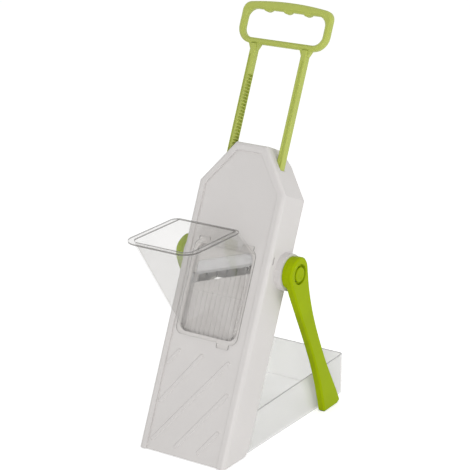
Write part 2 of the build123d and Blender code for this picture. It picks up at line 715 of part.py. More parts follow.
def pivot_pin():
    """Headed steel pin on which a leg turns, pressed into the shell's boss."""
    length = LEG_INNER + 2.5 - (HALF - 11)
    shank = Pos(HALF - 11 + length / 2, 0, 0) * Rot(0, 90, 0) * Cylinder(PIN_R, length)
    head_mid = LEG_INNER + 2.5 + 0.1 + PIN_HEAD[1] / 2
    head = Pos(head_mid, 0, 0) * Rot(0, 90, 0) * Cylinder(PIN_HEAD[0], PIN_HEAD[1])
    neck = Pos(head_mid - PIN_HEAD[1] / 2, 0, 0) * Rot(0, 90, 0) * Cylinder(PIN_R, 1.0)
    return leg_axis(shank + neck + head)


def leg_button():
    """Round release button in the hub, with a raised arrow that points down the leg."""
    inner = LEG_INNER + 2.5 + 0.1 + PIN_HEAD[1] + BUTTON_TRAVEL + 0.3
    outer = LEG_OUTER + BUTTON_PROUD
    cap = Pos((inner + outer) / 2, 0, 0) * Rot(0, 90, 0) * Cylinder(BUTTON_R, outer - inner)
    cap = chamfer(cap.edges().filter_by(GeomType.CIRCLE).sort_by(Axis.X)[-1], 0.6)
    arrow = make_face(Polyline((-2.5, -3.0), (0, -6.0), (2.5, -3.0), (0, -4.2), close=True))
    cap = cap + extrude(Plane.YZ.offset(outer - 0.2) * arrow, 0.6)
    return leg_axis(Rot(LEG_LEAN, 0, 0) * cap)


def left_of(shape):
    """The left-hand copy of a right-hand piece."""
    return mirror(shape, about=Plane.YZ)


# Hopper
def hopper_block(inset, over):
    """The funnel's solid form moved in by inset; over lengthens it past the rim."""
    head_y, head_z = side_point(HOPPER_HEAD_V, RECESS - FLANGE_THICK / 2)
    foot_y, foot_z = side_point(HOPPER_FOOT_V, RECESS - FLANGE_THICK / 2)
    front_run = (foot_y - HOPPER_FRONT_Y) / (foot_z - HOPPER_RIM_Z)
    back_run = (head_y - HOPPER_BACK_Y) / (head_z - HOPPER_RIM_Z)
    front_in = inset * sqrt(1 + front_run ** 2)
    back_in = inset * sqrt(1 + back_run ** 2)
    top = HOPPER_RIM_Z + over
    corners = [(HOPPER_FRONT_Y + front_in + over * front_run, top),
               (HOPPER_BACK_Y - back_in + over * back_run, top),
               (head_y - back_in, head_z), (foot_y + front_in, foot_z)]
    face = make_face(Polyline(*corners, close=True))
    block = extrude(Plane.YZ.offset(HOPPER_U - HOPPER_HALF + inset) * face, 2 * (HOPPER_HALF - inset))
    mid_y = (corners[0][0] + corners[3][0]) / 2
    edges = [e for e in block.edges() if abs(e.center().Y - mid_y) < 0.5 and abs(e.center().X - HOPPER_U) > 1]
    return fillet(edges, HOPPER_ROUND - inset)


def hopper():
    """Clear hopper: sloped front and back walls, lip, flange, spigot and tabs."""
    lip_face = Rectangle(2 * (HOPPER_HALF + LIP), HOPPER_BACK_Y - HOPPER_FRONT_Y + LIP + 1)
    for corners, size in zip(lip_face.vertices().group_by(Axis.Y), LIP_ROUNDS):
        lip_face = fillet([v for v in lip_face.vertices() if abs(v.Y - corners[0].Y) < 1e-6
                           and abs(abs(v.X) - HOPPER_HALF - LIP) < 1e-6], size)
    lip_mid = (HOPPER_BACK_Y + HOPPER_FRONT_Y - LIP + 1) / 2
    lip = Pos(HOPPER_U, lip_mid, HOPPER_RIM_Z - LIP_THICK) * extrude(lip_face, LIP_THICK)
    funnel = to_centre(hopper_block(0, 0) + lip - hopper_block(HOPPER_WALL, 6))

    plate = extrude(RectangleRounded(2 * FLANGE_HALF, FLANGE_V[1] - FLANGE_V[0], 9), FLANGE_THICK)
    plate = Pos(WINDOW_U, sum(FLANGE_V) / 2, -RECESS) * plate
    for u, v, wide, tall in tab_places():
        tongue = slab(u - wide / 2, u + wide / 2, v - tall / 2, v + tall / 2, RECESS - FLANGE_THICK, RECESS)
        plate = plate + fillet(tongue.edges().filter_by(Axis.Z), 1.8)
    collar = spigot(SPIGOT_GAP, RECESS - 1, PANEL_BACK)
    passage = spigot(SPIGOT_GAP + HOPPER_WALL, RECESS - FLANGE_THICK - 1, PANEL_BACK + 1)
    return funnel + on_board(plate + collar - passage)


def spigot(gap, w0, w1):
    """A rounded block that follows the window with a gap all round."""
    tall = WINDOW_V[1] - WINDOW_V[0] - 2 * gap
    block = extrude(RectangleRounded(2 * (WINDOW_HALF - gap), tall, WINDOW_ROUND - gap), w1 - w0)
    return Pos(WINDOW_U, sum(WINDOW_V) / 2, -w1) * block


# Catch tray
def catch_tray():
    """Clear open tray that slides out to the rear between the legs."""
    low, high = TRAY_HEIGHTS
    front, back = TRAY_Y
    side = make_face(Polyline((front, 0), (back, 0), (back, high), (front, low), close=True))
    blank = extrude(Plane.YZ.offset(-TRAY_HALF) * side, 2 * TRAY_HALF)
    blank = fillet(blank.edges().filter_by(Axis.Z), TRAY_ROUND)
    blank = fillet(blank.faces().sort_by(Axis.Z)[0].edges(), 1.5)
    tray = offset(blank, -TRAY_WALL, openings=blank.faces().sort_by(Axis.Z)[-1])
    return to_centre(tray)


def build():
    """Every sub-part under the name of its node."""
    right_leg, pad, pin, button = leg(), foot_pad(), pivot_pin(), leg_button()
    return {
        "front_shell": [front_shell()],
        "rear_cover": [rear_cover()],
        "cover_screws": cover_screws(),
        "rubber_feet": rubber_feet(),
        "left_guide_rod": [guide_rod(-1)],
        "right_guide_rod": [guide_rod(1)],
        "left_return_spring": [return_spring(-1)],
        "right_return_spring": [return_spring(1)],
        "damper_body": [damper_body()],
        "damper_pinion": [damper_pinion()],
        "handle_loop": [handle_loop()],
        "left_rail": [left_rail()],
        "right_rail": [right_rail()],
        "blade_carriage": [blade_carriage()],
        "runway_plate": [runway_plate()],
        "slicing_blade": [slicing_blade()],
        "julienne_comb": [julienne_comb()],
        "blade_screws": blade_screws(),
        "rail_screws": rail_screws(),
        "right_leg": [right_leg],
        "left_leg": [left_of(right_leg)],
        "right_foot_pad": [pad],
        "left_foot_pad": [left_of(pad)],
        "right_pivot_pin": [pin],
        "left_pivot_pin": [left_of(pin)],
        "right_leg_button": [button],
        "left_leg_button": [left_of(button)],
        "food_hopper": [hopper()],
        "catch_tray": [catch_tray()],
    }


def main():
    """Write one file for each node."""
    os.makedirs("parts", exist_ok=True)
    for name, shapes in build().items():
        solids = [solid for shape in shapes for solid in shape.solids()]
        export_step(Compound(children=solids) if len(solids) > 1 else solids[0], f"parts/{name}.step")


main()
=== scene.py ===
"""Standing push-down vegetable chopper: finishes, refined meshes, studio and camera.

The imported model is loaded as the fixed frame. Each sub-assembly is a class that refines
the frame's own solids into soft-edged meshes and dresses them in procedural finishes.
The two return springs are coiled anew.
"""
from __future__ import annotations

import json
import logging
import math
from dataclasses import dataclass, field
from enum import Enum

import bmesh
import bpy
from mathutils import Matrix, Vector


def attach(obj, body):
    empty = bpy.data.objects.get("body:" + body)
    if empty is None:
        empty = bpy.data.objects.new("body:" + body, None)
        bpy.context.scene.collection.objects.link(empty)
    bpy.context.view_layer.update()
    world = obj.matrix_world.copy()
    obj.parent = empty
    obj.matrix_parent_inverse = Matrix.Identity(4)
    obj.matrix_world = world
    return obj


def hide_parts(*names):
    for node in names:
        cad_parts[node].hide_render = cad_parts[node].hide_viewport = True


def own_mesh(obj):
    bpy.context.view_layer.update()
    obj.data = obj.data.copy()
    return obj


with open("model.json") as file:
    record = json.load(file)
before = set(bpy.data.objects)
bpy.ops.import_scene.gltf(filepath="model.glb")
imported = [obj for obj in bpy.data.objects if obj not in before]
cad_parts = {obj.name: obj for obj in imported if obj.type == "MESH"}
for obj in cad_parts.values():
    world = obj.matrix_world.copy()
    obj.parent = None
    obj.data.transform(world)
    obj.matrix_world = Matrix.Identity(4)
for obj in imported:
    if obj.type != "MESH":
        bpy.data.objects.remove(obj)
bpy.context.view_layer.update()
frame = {"nodes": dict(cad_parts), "record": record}

LOG = logging.getLogger("chopper")
MM = 0.001  # metres
TINY = 1e-6  # metres
LEAN = 23.7  # degrees that the body leans back
UP_SLOPE = Vector((0.0, math.sin(math.radians(LEAN)), math.cos(math.radians(LEAN))))
PAINTED_SHADE_ATTRIBUTE = "rim"  # face attribute: how much painted shade darkens a face of a clear piece, from 0 to 1

Colour = tuple[float, float, float]
Place = tuple[float, float, float]
WHITE: Colour = (1.0, 1.0, 1.0)


class Slot(Enum):
    """The record's material slots, one for each finish."""

    WHITE = "white_plastic"
    LIME = "lime_plastic"
    GREEN = "green_plastic"
    GREY = "grey_plastic"
    RUNWAY = "runway_plastic"
    CLEAR = "clear_plastic"
    TRAY = "clear_tray"
    BLADE = "blade_steel"
    STEEL = "steel"
    SPRING = "spring_steel"
    SCREW = "screw_steel"
    RUBBER = "rubber"


def solid(colour: Colour) -> tuple[float, float, float, float]:
    """The colour with full cover, as the sockets take it."""
    return (*colour, 1.0)


@dataclass
class Graph:
    """A small helper that adds and links the nodes of one material or world."""

    tree: bpy.types.NodeTree

    def add(self, kind: str, **sockets: object) -> bpy.types.Node:
        """Add a node and set its inputs by name.

        Args:
            kind: the node's type name, without the ShaderNode prefix.
            sockets: input names, with underscores for spaces, and their values.

        Returns:
            The new node.
        """
        node = self.tree.nodes.new("ShaderNode" + kind)
        for key, value in sockets.items():
            node.inputs[key.replace("_", " ")].default_value = value
        return node

    def link(self, source: bpy.types.Node, output: str | int, target: bpy.types.Node,
             socket: str | int) -> None:
        """Link an output of one node to an input of another."""
        self.tree.links.new(source.outputs[output], target.inputs[socket])

    def maths(self, operation: str) -> bpy.types.Node:
        """Add a node for one sum.

        Args:
            operation: the sum's name in Blender, such as MULTIPLY.

        Returns:
            The new node.
        """
        node = self.add("Math")
        node.operation = operation
        return node

    def ramp(self, source: bpy.types.Node, output: str, low: Colour, high: Colour,
             start: float = 0.0, stop: float = 1.0) -> bpy.types.Node:
        """Turn a value into a colour between two others.

        Args:
            source: the node that gives the value.
            output: the output that the value comes from.
            low: the colour up to the start.
            high: the colour from the stop.
            start: the value at which the first colour begins to change.
            stop: the value at which the second colour is reached.

        Returns:
            The node that gives the colour.
        """
        node = self.add("ValToRGB")
        for element, position, colour in zip(node.color_ramp.elements, (start, stop), (low, high)):
            element.position = position
            element.color = solid(colour)
        self.link(source, output, node, "Fac")
        return node

    def spread(self, source: bpy.types.Node, output: str, low: float,
               high: float) -> bpy.types.Node:
        """Spread a value between 0 and 1 over another range.

        Args:
            source: the node that gives the value.
            output: the output that the value comes from.
            low: what 0 becomes.
            high: what 1 becomes.

        Returns:
            The node that gives the new value.
        """
        node = self.add("MapRange")
        node.inputs["To Min"].default_value = low
        node.inputs["To Max"].default_value = high
        self.link(source, output, node, "Value")
        return node


def new_material(name: str) -> tuple[bpy.types.Material, Graph, bpy.types.Node]:
    """Make an empty node material.

    Args:
        name: the material's name.

    Returns:
        The material, its graph and its output node.
    """
    material = bpy.data.materials.new(name)
    material.use_nodes = True
    material.node_tree.nodes.clear()
    graph = Graph(material.node_tree)
    return material, graph, graph.add("OutputMaterial")


@dataclass(frozen=True)
class MouldedPlastic:
    """Opaque injection-moulded plastic: faint flow mottling, fine grain and soft gloss.

    Mottle is the share by which the colour varies with the flow. The roughness varies with
    it too, from smoother below the plain value to rougher above it.
    """

    name: str
    slot: Slot
    colour: Colour
    roughness: float
    mottle: float
    grain_mm: float
    grain_depth_mm: float
    shine: float = 0.5
    soft_mm: float = 0.7
    soft_samples: int = 6
    index: float = 1.49
    flow_scale: float = 18.0
    flow_detail: float = 3.0
    flow_roughness: float = 0.55
    flow_start: float = 0.3
    flow_stop: float = 0.7
    smoother: float = 0.05
    rougher: float = 0.07
    grain_strength: float = 0.35

    def build(self) -> bpy.types.Material:
        """Build the node material.

        Returns:
            The material.
        """
        material, graph, output = new_material(self.name)
        shader = graph.add("BsdfPrincipled", Roughness=self.roughness, IOR=self.index)
        shader.inputs["Specular IOR Level"].default_value = self.shine
        where = graph.add("TexCoord")
        flow = graph.add("TexNoise", Scale=self.flow_scale, Detail=self.flow_detail,
                         Roughness=self.flow_roughness)
        graph.link(where, "Object", flow, "Vector")
        low = tuple(c * (1 - self.mottle) for c in self.colour)
        high = tuple(min(1.0, c * (1 + self.mottle)) for c in self.colour)
        ramp = graph.ramp(flow, "Fac", low, high, self.flow_start, self.flow_stop)
        graph.link(ramp, "Color", shader, "Base Color")
        polish = graph.spread(flow, "Fac", self.roughness - self.smoother,
                              self.roughness + self.rougher)
        graph.link(polish, "Result", shader, "Roughness")
        grain = graph.add("TexNoise", Scale=1.0 / (self.grain_mm * MM), Detail=1.0)
        graph.link(where, "Object", grain, "Vector")
        bump = graph.add("Bump", Strength=self.grain_strength, Distance=self.grain_depth_mm * MM)
        graph.link(grain, "Fac", bump, "Height")
        soft = graph.add("Bevel", Radius=self.soft_mm * MM)
        soft.samples = self.soft_samples
        graph.link(soft, "Normal", bump, "Normal")
        graph.link(bump, "Normal", shader, "Normal")
        graph.link(shader, "BSDF", output, "Surface")
        return material


@dataclass(frozen=True)
class Steel:
    """Bright steel with fine drawn or ground lines along one direction.

    Lengthwise is how fine the pattern is along the lines, against across them. The darkest
    line has line_shade of the colour. The roughness varies as it does in MouldedPlastic.
    """

    name: str
    slot: Slot
    colour: Colour
    roughness: float
    lines_per_mm: float
    along: Vector = field(default_factory=lambda: Vector((1.0, 0.0, 0.0)))
    lengthwise: float = 0.02
    line_detail: float = 2.0
    line_shade: float = 0.82
    smoother: float = 0.06
    rougher: float = 0.1

    def build(self) -> bpy.types.Material:
        """Build the node material.

        Returns:
            The material.
        """
        material, graph, output = new_material(self.name)
        shader = graph.add("BsdfPrincipled", Metallic=1.0, Roughness=self.roughness)
        where = graph.add("TexCoord")
        turn = graph.add("Mapping")
        lengthways = self.along.to_track_quat("X", "Z")
        turn.inputs["Rotation"].default_value = lengthways.inverted().to_euler()
        stretch = graph.add("Mapping")
        fine = self.lines_per_mm / MM
        stretch.inputs["Scale"].default_value = (fine * self.lengthwise, fine, fine)
        lines = graph.add("TexNoise", Scale=1.0, Detail=self.line_detail)
        graph.link(where, "Object", turn, "Vector")
        graph.link(turn, "Vector", stretch, "Vector")
        graph.link(stretch, "Vector", lines, "Vector")
        shade = tuple(c * self.line_shade for c in self.colour)
        ramp = graph.ramp(lines, "Fac", shade, self.colour)
        graph.link(ramp, "Color", shader, "Base Color")
        dull = graph.spread(lines, "Fac", self.roughness - self.smoother,
                            self.roughness + self.rougher)
        graph.link(dull, "Result", shader, "Roughness")
        graph.link(shader, "BSDF", output, "Surface")
        return material


@dataclass(frozen=True)
class ClearPlastic:
    """Clear moulded plastic: see-through when faced, greyer at a slant, with painted shade on its
    rims and edges.

    Faced and grazing are the tints of what is seen through it; rim is the tint of painted shade
    on the faces marked for it. Lamplight is what each wall lets through of the lamps' light.
    """

    name: str
    slot: Slot
    faced: Colour
    grazing: Colour
    # tint of painted shade, on the faces marked for it
    rim: Colour
    milk: Colour
    milk_share: float
    roughness: float = 0.08
    index: float = 1.4
    edge_blend: float = 0.2
    ripple_scale: float = 26.0
    ripple_detail: float = 2.0
    ripple_strength: float = 0.25
    ripple_depth_mm: float = 0.15
    lamplight: Colour = (0.97, 0.97, 0.97)

    def build(self) -> bpy.types.Material:
        """Build the node material, which lets the lamps' light straight through.

        Returns:
            The material.
        """
        material, graph, output = new_material(self.name)
        lamp_ray = graph.add("LightPath")
        lit = graph.add("BsdfTransparent", Color=solid(self.lamplight))
        passing = graph.add("MixShader")
        graph.link(lamp_ray, "Is Shadow Ray", passing, 0)
        graph.link(self.surface(graph), "Shader", passing, 1)
        graph.link(lit, "BSDF", passing, 2)
        graph.link(passing, "Shader", output, "Surface")
        return material

    def surface(self, graph: Graph) -> bpy.types.Node:
        """Mix what the wall lets through with its milkiness and its gloss.

        Args:
            graph: the material's graph.

        Returns:
            The node whose Shader output is what the eye sees.
        """
        where = graph.add("TexCoord")
        ripple = graph.add("TexNoise", Scale=self.ripple_scale, Detail=self.ripple_detail)
        graph.link(where, "Object", ripple, "Vector")
        bump = graph.add("Bump", Strength=self.ripple_strength,
                         Distance=self.ripple_depth_mm * MM)
        graph.link(ripple, "Fac", bump, "Height")
        through = graph.add("BsdfTransparent")
        graph.link(self.tint(graph), 0, through, "Color")
        gloss = graph.add("BsdfGlossy", Roughness=self.roughness)
        graph.link(bump, "Normal", gloss, "Normal")
        milk = graph.add("BsdfDiffuse", Color=solid(self.milk))
        body = graph.add("MixShader", Fac=self.milk_share)
        graph.link(through, "BSDF", body, 1)
        graph.link(milk, "BSDF", body, 2)
        mix = graph.add("MixShader")
        graph.link(self.sheen(graph, bump), 0, mix, 0)
        graph.link(body, "Shader", mix, 1)
        graph.link(gloss, "BSDF", mix, 2)
        return mix

    def sheen(self, graph: Graph, bump: bpy.types.Node) -> bpy.types.Node:
        """Find how much of the wall is gloss, on its outer side only.

        Args:
            graph: the material's graph.
            bump: the node that ripples the surface.

        Returns:
            A node whose first output is the share of gloss.
        """
        sheen = graph.add("Fresnel", IOR=self.index)
        graph.link(bump, "Normal", sheen, "Normal")
        side = graph.add("NewGeometry")
        outer = graph.maths("SUBTRACT")
        outer.inputs[0].default_value = 1.0
        graph.link(side, "Backfacing", outer, 1)
        share = graph.maths("MULTIPLY")
        graph.link(sheen, "Fac", share, 0)
        graph.link(outer, 0, share, 1)
        return share

    def tint(self, graph: Graph) -> bpy.types.Node:
        """Mix the tint that is seen through the wall.

        Args:
            graph: the material's graph.

        Returns:
            A node whose first output is the tint: by the angle of view, with painted shade where
                faces are marked.
        """
        facing = graph.add("LayerWeight", Blend=self.edge_blend)
        by_angle = graph.ramp(facing, "Facing", self.faced, self.grazing)
        # The marked faces take the rim tint as painted shade.
        rim = graph.add("Attribute")
        rim.attribute_name = PAINTED_SHADE_ATTRIBUTE
        mix = graph.add("MixRGB")
        mix.inputs["Color2"].default_value = solid(self.rim)
        graph.link(rim, "Fac", mix, "Fac")
        graph.link(by_angle, "Color", mix, "Color1")
        return mix


Finish = MouldedPlastic | Steel | ClearPlastic

FINISHES: tuple[Finish, ...] = (
    MouldedPlastic("warm_white_plastic", Slot.WHITE, (0.69, 0.665, 0.65), roughness=0.42,
                   mottle=0.02, grain_mm=0.6, grain_depth_mm=0.01),
    MouldedPlastic("lime_plastic", Slot.LIME, (0.46, 0.52, 0.105), roughness=0.36,
                   mottle=0.03, grain_mm=0.8, grain_depth_mm=0.01, shine=0.3, soft_mm=0.3),
    MouldedPlastic("green_plastic", Slot.GREEN, (0.34, 0.45, 0.002), roughness=0.34,
                   mottle=0.05, grain_mm=0.8, grain_depth_mm=0.015, shine=0.03),
    MouldedPlastic("grey_gear_plastic", Slot.GREY, (0.3, 0.3, 0.3), roughness=0.5,
                   mottle=0.06, grain_mm=0.5, grain_depth_mm=0.02),
    MouldedPlastic("runway_plastic", Slot.RUNWAY, (0.68, 0.655, 0.64), roughness=0.3,
                   mottle=0.03, grain_mm=0.7, grain_depth_mm=0.01),
    # In the clear finishes, rim is the tint of painted shade on the marked faces.
    ClearPlastic("clear_plastic", Slot.CLEAR, faced=(0.987, 0.985, 0.982),
                 grazing=(0.94, 0.935, 0.93), rim=(0.36, 0.355, 0.345),
                 milk=(0.95, 0.94, 0.925), milk_share=0.05),
    ClearPlastic("clear_tray_plastic", Slot.TRAY, faced=(0.975, 0.975, 0.97),
                 grazing=(0.85, 0.85, 0.84), rim=(0.45, 0.45, 0.45),
                 milk=(0.88, 0.875, 0.865), milk_share=0.36),
    Steel("ground_blade_steel", Slot.BLADE, (0.47, 0.47, 0.48), roughness=0.36,
          lines_per_mm=5.0),
    Steel("drawn_steel", Slot.STEEL, (0.6, 0.61, 0.62), roughness=0.3, lines_per_mm=3.0,
          along=UP_SLOPE),
    Steel("spring_steel", Slot.SPRING, (0.5, 0.5, 0.52), roughness=0.35, lines_per_mm=3.0,
          along=UP_SLOPE),
    Steel("screw_steel", Slot.SCREW, (0.55, 0.56, 0.58), roughness=0.32, lines_per_mm=3.0),
    MouldedPlastic("black_rubber", Slot.RUBBER, (0.035, 0.035, 0.035), roughness=0.75,
                   mottle=0.1, grain_mm=0.4, grain_depth_mm=0.04),
)

OWN_FINISHES: dict[str, Finish] = {
    # Painted shade: the comb is near black, far darker than bare steel, to look like the shaded
    # gaps under the blade.
    "julienne_comb": Steel("comb_steel_painted_shade", Slot.BLADE, (0.03, 0.028, 0.026),
                           roughness=0.55, lines_per_mm=5.0),
}


class Finisher:
    """Builds each finish once and dresses pieces with it."""

    def __init__(self) -> None:
        """Build every material."""
        self.materials = {finish.slot: finish.build() for finish in FINISHES}
        self.own = {node: finish.build() for node, finish in OWN_FINISHES.items()}

    def dress(self, piece: bpy.types.Object, slot: Slot, node: str = "") -> None:
        """Give a piece one finish.

        Args:
            piece: a mesh object.
            slot: the record's slot that the piece takes its finish from.
            node: the node that the piece stands for, where it may have a finish of its own.
        """
        piece.data.materials.clear()
        piece.data.materials.append(self.own.get(node, self.materials[slot]))


def slot_of(node: str) -> Slot:
    """Look up the record's slot of a node.

    Args:
        node: the node's name.

    Returns:
        Its slot.
    """
    for entry in frame["record"]["subparts"]:
        if entry["node"] == node:
            return Slot(entry["material_slot"])
    raise KeyError(node)


def body_of(node: str) -> str:
    """Look up the body that a node rides on.

    Args:
        node: the node's name.

    Returns:
        The body's name.
    """
    for body, members in frame["record"]["behaviour"]["bodies"].items():
        if node in members:
            return body
    raise KeyError(node)


def object_from(bm: bmesh.types.BMesh, name: str) -> bpy.types.Object:
    """Turn a bmesh into a linked object at the origin.

    Args:
        bm: the mesh, which is freed.
        name: the object's name.

    Returns:
        The new object, shaded smooth.
    """
    mesh = bpy.data.meshes.new(name)
    bm.to_mesh(mesh)
    bm.free()
    mesh.polygons.foreach_set("use_smooth", [True] * len(mesh.polygons))
    piece = bpy.data.objects.new(name, mesh)
    bpy.context.scene.collection.objects.link(piece)
    return piece


@dataclass
class Refined:
    """One frame solid, and how its edges are softened.

    Edges sharper than sharp are softened. Points within one_point_mm are merged, and faces
    within one_plane of each other are joined.
    """

    node: str
    edge_mm: float
    segments: int = 3
    sharp: float = math.radians(32.0)
    one_point_mm: float = 0.002
    one_plane: float = math.radians(0.6)

    def merged(self) -> bmesh.types.BMesh:
        """Copy the solid as clean faces, without its doubled points and flat seams.

        Returns:
            The copy, in the solid's place.
        """
        bm = bmesh.new()
        bm.from_mesh(frame["nodes"][self.node].data)
        bmesh.ops.remove_doubles(bm, verts=bm.verts, dist=self.one_point_mm * MM)
        bmesh.ops.dissolve_limit(bm, angle_limit=self.one_plane, verts=bm.verts, edges=bm.edges)
        return bm

    def soften(self, piece: bpy.types.Object) -> None:
        """Soften every sharp edge and keep the broad faces flat.

        Args:
            piece: the object that stands for the solid.
        """
        bevel = piece.modifiers.new("soft_edges", "BEVEL")
        bevel.width = self.edge_mm * MM
        bevel.segments = self.segments
        bevel.limit_method = "ANGLE"
        bevel.angle_limit = self.sharp
        bevel.use_clamp_overlap = True
        flat = piece.modifiers.new("flat_faces", "WEIGHTED_NORMAL")
        flat.mode = "FACE_AREA"
        flat.weight = 100
        flat.keep_sharp = True

    def build(self, finisher: Finisher) -> bpy.types.Object:
        """Rebuild the solid with softened edges, in the same place.

        Args:
            finisher: what dresses it.

        Returns:
            The new piece, riding on the node's body.
        """
        node = self.node
        piece = object_from(self.merged(), node + "_piece")
        piece.data.set_sharp_from_angle(angle=self.sharp)
        self.soften(piece)
        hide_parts(node)
        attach(piece, body_of(node))
        finisher.dress(piece, slot_of(node), node)
        return piece


@dataclass
class Board:
    """The leaning plane of the front panel, in which most of the chopper is drawn."""

    lean: float = LEAN
    hopper_front_mm: float = -34.0
    tray_back_mm: float = 249.5
    same_depth_mm: float = 0.02

    @property
    def middle_mm(self) -> float:
        """How far behind the panel's foot the middle of the whole object lies."""
        return (self.hopper_front_mm + self.tray_back_mm) / 2

    def ahead(self) -> Vector:
        """The direction straight out of the panel."""
        lean = math.radians(self.lean)
        return Vector((0.0, -math.cos(lean), math.sin(lean)))

    def place(self, bm: bmesh.types.BMesh) -> None:
        """Move a mesh from board millimetres to its place in metres.

        Args:
            bm: the mesh, with x across the board, y up its slope and z straight out of it.
        """
        turn = Matrix.Rotation(math.radians(90 - self.lean), 4, "X")
        move = Matrix.Translation((0, -self.middle_mm * MM, 0)) @ turn @ Matrix.Scale(MM, 4)
        bmesh.ops.transform(bm, matrix=move, verts=bm.verts)

    def depth(self, point: Vector) -> float:
        """Measure how far a point lies behind the panel's plane.

        Args:
            point: the point, in metres.

        Returns:
            The depth in millimetres.
        """
        lean = math.radians(self.lean)
        back = point.y / MM + self.middle_mm
        return back * math.cos(lean) - point.z / MM * math.sin(lean)

    def lift(self, bm: bmesh.types.BMesh, depth_mm: float, gap_mm: float) -> None:
        """Draw the vertices at one depth forward, so that no two faces share a plane.

        Args:
            bm: the mesh, in place.
            depth_mm: how deep behind the panel's plane the vertices lie.
            gap_mm: how far they come forward.
        """
        level = [v for v in bm.verts if abs(self.depth(v.co) - depth_mm) < self.same_depth_mm]
        bmesh.ops.translate(bm, verts=level, vec=self.ahead() * gap_mm * MM)


@dataclass
class SubAssembly:
    """Pieces that are refined from the frame and dressed in their own finishes."""

    finisher: Finisher
    refined: tuple[Refined, ...] = ()

    def build(self) -> list[bpy.types.Object]:
        """Refine and dress each solid.

        Returns:
            The new pieces.
        """
        return [item.build(self.finisher) for item in self.refined]


@dataclass
class Housing(SubAssembly):
    """Front shell, rear cover, feet, screws, guide rods, damper with its pinion, and pins."""

    refined: tuple[Refined, ...] = (
        Refined("front_shell", 0.7),
        Refined("rear_cover", 0.4),
        Refined("cover_screws", 0.25),
        Refined("rubber_feet", 0.2),
        Refined("left_guide_rod", 0.2),
        Refined("right_guide_rod", 0.2),
        Refined("damper_body", 0.2),
        Refined("damper_pinion", 0.1),
        Refined("left_pivot_pin", 0.2),
        Refined("right_pivot_pin", 0.2))


@dataclass
class ReturnSprings:
    """Two coil springs round their guide rods, each coiled at one length.

    Places and sizes are in millimetres: u across the board, v up its slope, w behind it.
    """

    finisher: Finisher
    board: Board
    rod_u: float = 45.5
    rod_w: float = 15.6
    foot_v: float = 20.2
    head_v: float = 213.8
    stroke: float = 90.0
    mean_r: float = 3.95
    wire_r: float = 0.6
    turns: int = 34
    steps: int = 20
    sides: int = 8

    def build(self) -> list[bpy.types.Object]:
        """Coil both springs.

        Returns:
            The two springs.
        """
        return [self.coil(-1, "left_return_spring"), self.coil(1, "right_return_spring")]

    def coil(self, side: int, node: str) -> bpy.types.Object:
        """Coil one spring by spinning a ring of wire up its rod.

        Args:
            side: -1 for the left rod, 1 for the right one.
            node: the frame's node that it stands for.

        Returns:
            The spring.
        """
        bm = bmesh.new()
        travel = self.head_v - self.foot_v - 2 * self.wire_r
        lead = travel / self.turns
        bmesh.ops.create_circle(
            bm, segments=self.sides, radius=self.wire_r,
            matrix=Matrix.Translation((self.mean_r, self.foot_v + self.wire_r, 0)))
        bmesh.ops.spin(
            bm, geom=bm.edges[:], cent=(0, 0, 0), axis=(0, 1, 0),
            dvec=(0, lead / self.steps, 0), angle=math.tau * self.turns,
            steps=self.turns * self.steps, use_merge=False)
        ends = [e for e in bm.edges if e.is_boundary]
        bmesh.ops.holes_fill(bm, edges=ends, sides=self.sides)
        bmesh.ops.translate(bm, vec=(side * self.rod_u, 0, -self.rod_w), verts=bm.verts)
        bmesh.ops.recalc_face_normals(bm, faces=bm.faces)
        self.board.place(bm)
        piece = object_from(bm, node + "_coil")
        self.finisher.dress(piece, Slot.SPRING)
        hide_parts(node)
        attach(piece, "housing")
        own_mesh(piece)
        return piece


@dataclass
class Carriage(SubAssembly):
    """Rails, blade carriage, runway, blade, comb, their screws and the grip."""

    refined: tuple[Refined, ...] = (
        Refined("left_rail", 0.25),
        Refined("right_rail", 0.5),
        Refined("blade_carriage", 0.3),
        Refined("runway_plate", 0.3),
        Refined("slicing_blade", 0.08, 2),
        Refined("julienne_comb", 0.08, 2),
        Refined("blade_screws", 0.1, 2),
        Refined("rail_screws", 0.25),
        Refined("handle_loop", 1.1, 4))


@dataclass
class Legs(SubAssembly):
    """Both folding legs with their pads and release buttons."""

    refined: tuple[Refined, ...] = (
        Refined("left_leg", 1.0, 4),
        Refined("right_leg", 1.0, 4),
        Refined("left_foot_pad", 0.15),
        Refined("right_foot_pad", 0.15),
        Refined("left_leg_button", 0.9),
        Refined("right_leg_button", 0.9))


